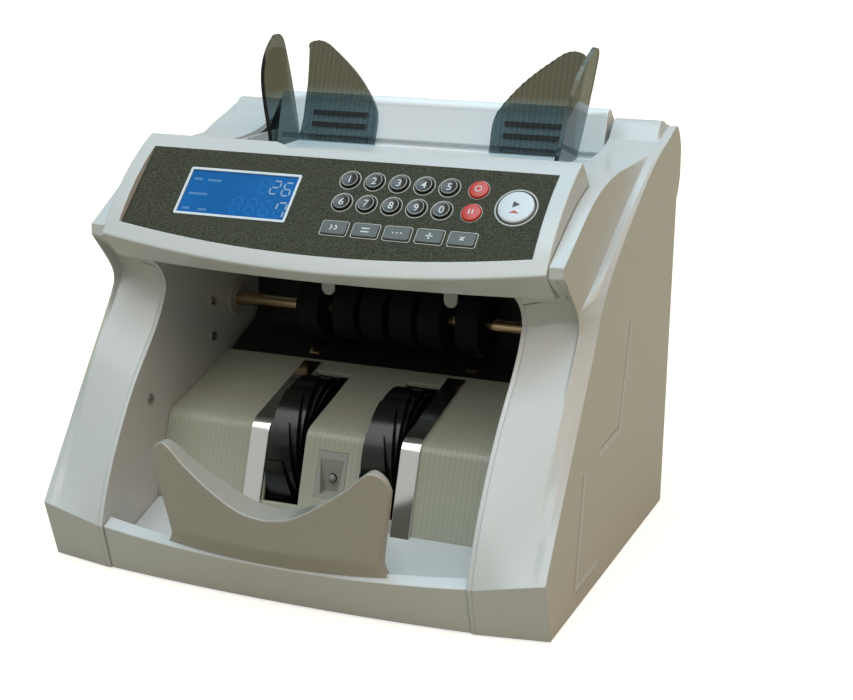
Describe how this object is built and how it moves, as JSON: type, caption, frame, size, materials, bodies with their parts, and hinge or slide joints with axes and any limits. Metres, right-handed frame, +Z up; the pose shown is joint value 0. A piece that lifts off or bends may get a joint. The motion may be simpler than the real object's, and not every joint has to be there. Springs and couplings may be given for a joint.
{
  "type": "banknote counting machine",
  "caption": "Table-top banknote counter with sloping keypad console, open stacker pocket, leaf wheels and smoked hopper guides.",
  "frame": {"origin": "on the table, under the middle of the width and depth", "axes": "+X to the right seen from the front, +Y to the rear, +Z up"},
  "size_m": [0.2846, 0.249, 0.2667],
  "materials": {
    "body_plastic": "satin off-white moulded plastic",
    "frame_plastic": "matte light grey",
    "hopper_plastic": "satin white",
    "plate_plastic": "satin grey-white with fine ribs",
    "base_metal": "painted sheet",
    "bright_steel": "bright plated steel",
    "shaft_metal": "ground shaft, warm metal",
    "bearing_plastic": "satin grey",
    "black_rubber": "black rubber, slightly shiny",
    "black_plastic": "matte black",
    "overlay_film": "finely speckled dark film",
    "display_blue": "backlit display behind clear film",
    "board_green": "coated circuit board",
    "number_key": "polished black",
    "red_key": "polished red",
    "white_key": "polished white",
    "grey_key": "satin dark grey",
    "motor_steel": "dull painted steel",
    "smoked_plastic": "smoked clear plastic"
  },
  "bodies": {
    "machine": {"base_pan": "base_metal", "console_housing": "body_plastic", "display_socket": "black_plastic", "drive_belt": "black_rubber", "face_overlay": "overlay_film", "guide_tabs": "hopper_plastic", "hopper_back_plate": "body_plastic", "hopper_bed": "hopper_plastic", "keypad_board": "board_green", "lcd_window": "display_blue", "left_cover": "body_plastic", "left_side_frame": "frame_plastic", "main_board": "board_green", "main_motor": "motor_steel", "note_stop": "body_plastic", "paper_guide": "black_plastic", "power_inlet": "black_plastic", "power_supply": "motor_steel", "rear_cover": "body_plastic", "right_cover": "body_plastic", "right_side_frame": "frame_plastic", "rubber_feet": "black_rubber", "shaft_bearings": "bearing_plastic", "spring_tabs": "bright_steel", "stacker_plate": "plate_plastic", "stacker_sensor": "plate_plastic", "stacker_tray": "body_plastic", "wall_screws": "bright_steel", "wear_strips": "bright_steel"},
    "key_1": {"key_1": "number_key"},
    "key_2": {"key_2": "number_key"},
    "key_3": {"key_3": "number_key"},
    "key_4": {"key_4": "number_key"},
    "key_5": {"key_5": "number_key"},
    "key_6": {"key_6": "number_key"},
    "key_7": {"key_7": "number_key"},
    "key_8": {"key_8": "number_key"},
    "key_9": {"key_9": "number_key"},
    "key_0": {"key_0": "number_key"},
    "red_key_upper": {"red_key_upper": "red_key"},
    "red_key_lower": {"red_key_lower": "red_key"},
    "start_key": {"start_key": "white_key"},
    "function_key_1": {"function_key_1": "grey_key"},
    "function_key_2": {"function_key_2": "grey_key"},
    "function_key_3": {"function_key_3": "grey_key"},
    "function_key_4": {"function_key_4": "grey_key"},
    "function_key_5": {"function_key_5": "grey_key"},
    "rocker": {"power_rocker": "black_plastic"},
    "transport": {"transport_shaft": "shaft_metal", "transport_rollers": "black_rubber", "transport_pulley": "black_plastic"},
    "stacker": {"stacker_shaft": "shaft_metal", "left_stacker_wheel": "black_rubber", "right_stacker_wheel": "black_rubber", "stacker_pulley": "black_plastic"},
    "feed": {"feed_shaft": "shaft_metal", "feed_rollers": "black_rubber"},
    "motor": {"motor_pulley": "black_plastic"},
    "left_guide": {"left_hopper_guide": "smoked_plastic"},
    "right_guide": {"right_hopper_guide": "smoked_plastic"}
  },
  "joints": [
    {"name": "key_1_press", "type": "slide", "parent": "machine", "child": "key_1", "axis": [0, 0.6884, -0.7254], "range_m": [0, 0.0007], "stiffness_N_per_m": 300},
    {"name": "key_2_press", "type": "slide", "parent": "machine", "child": "key_2", "axis": [0, 0.6884, -0.7254], "range_m": [0, 0.0007], "stiffness_N_per_m": 300},
    {"name": "key_3_press", "type": "slide", "parent": "machine", "child": "key_3", "axis": [0, 0.6884, -0.7254], "range_m": [0, 0.0007], "stiffness_N_per_m": 300},
    {"name": "key_4_press", "type": "slide", "parent": "machine", "child": "key_4", "axis": [0, 0.6884, -0.7254], "range_m": [0, 0.0007], "stiffness_N_per_m": 300},
    {"name": "key_5_press", "type": "slide", "parent": "machine", "child": "key_5", "axis": [0, 0.6884, -0.7254], "range_m": [0, 0.0007], "stiffness_N_per_m": 300},
    {"name": "key_6_press", "type": "slide", "parent": "machine", "child": "key_6", "axis": [0, 0.6884, -0.7254], "range_m": [0, 0.0007], "stiffness_N_per_m": 300},
    {"name": "key_7_press", "type": "slide", "parent": "machine", "child": "key_7", "axis": [0, 0.6884, -0.7254], "range_m": [0, 0.0007], "stiffness_N_per_m": 300},
    {"name": "key_8_press", "type": "slide", "parent": "machine", "child": "key_8", "axis": [0, 0.6884, -0.7254], "range_m": [0, 0.0007], "stiffness_N_per_m": 300},
    {"name": "key_9_press", "type": "slide", "parent": "machine", "child": "key_9", "axis": [0, 0.6884, -0.7254], "range_m": [0, 0.0007], "stiffness_N_per_m": 300},
    {"name": "key_0_press", "type": "slide", "parent": "machine", "child": "key_0", "axis": [0, 0.6884, -0.7254], "range_m": [0, 0.0007], "stiffness_N_per_m": 300},
    {"name": "red_key_upper_press", "type": "slide", "parent": "machine", "child": "red_key_upper", "axis": [0, 0.6884, -0.7254], "range_m": [0, 0.0007], "stiffness_N_per_m": 300},
    {"name": "red_key_lower_press", "type": "slide", "parent": "machine", "child": "red_key_lower", "axis": [0, 0.6884, -0.7254], "range_m": [0, 0.0007], "stiffness_N_per_m": 300},
    {"name": "start_key_press", "type": "slide", "parent": "machine", "child": "start_key", "axis": [0, 0.6884, -0.7254], "range_m": [0, 0.0007], "stiffness_N_per_m": 300},
    {"name": "function_key_1_press", "type": "slide", "parent": "machine", "child": "function_key_1", "axis": [0, 0.6884, -0.7254], "range_m": [0, 0.0007], "stiffness_N_per_m": 300},
    {"name": "function_key_2_press", "type": "slide", "parent": "machine", "child": "function_key_2", "axis": [0, 0.6884, -0.7254], "range_m": [0, 0.0007], "stiffness_N_per_m": 300},
    {"name": "function_key_3_press", "type": "slide", "parent": "machine", "child": "function_key_3", "axis": [0, 0.6884, -0.7254], "range_m": [0, 0.0007], "stiffness_N_per_m": 300},
    {"name": "function_key_4_press", "type": "slide", "parent": "machine", "child": "function_key_4", "axis": [0, 0.6884, -0.7254], "range_m": [0, 0.0007], "stiffness_N_per_m": 300},
    {"name": "function_key_5_press", "type": "slide", "parent": "machine", "child": "function_key_5", "axis": [0, 0.6884, -0.7254], "range_m": [0, 0.0007], "stiffness_N_per_m": 300},
    {"name": "rocker_tip", "type": "hinge", "parent": "machine", "child": "rocker", "pos_m": [-0.022, 0.10175, 0.019], "axis": [1, 0, 0], "range_deg": [-10, 10]},
    {"name": "transport_turn", "type": "hinge", "parent": "machine", "child": "transport", "pos_m": [0, 0.03775, 0.1169], "axis": [1, 0, 0], "continuous": true},
    {"name": "stacker_turn", "type": "hinge", "parent": "machine", "child": "stacker", "pos_m": [0, -0.01125, 0.047], "axis": [1, 0, 0], "continuous": true},
    {"name": "feed_turn", "type": "hinge", "parent": "machine", "child": "feed", "pos_m": [0, 0.02075, 0.172], "axis": [1, 0, 0], "continuous": true},
    {"name": "motor_turn", "type": "hinge", "parent": "machine", "child": "motor", "pos_m": [0, 0.06975, 0.05], "axis": [1, 0, 0], "continuous": true},
    {"name": "left_guide_slide", "type": "slide", "parent": "machine", "child": "left_guide", "axis": [1, 0, 0], "range_m": [-0.01, 0.03]},
    {"name": "right_guide_slide", "type": "slide", "parent": "machine", "child": "right_guide", "axis": [-1, 0, 0], "range_m": [-0.01, 0.03]}
  ],
  "couplings": [
    {"joint": "stacker_turn", "follows": "transport_turn", "ratio": 1.125},
    {"joint": "feed_turn", "follows": "transport_turn", "ratio": 1.5},
    {"joint": "motor_turn", "follows": "transport_turn", "ratio": 2.25}
  ]
}
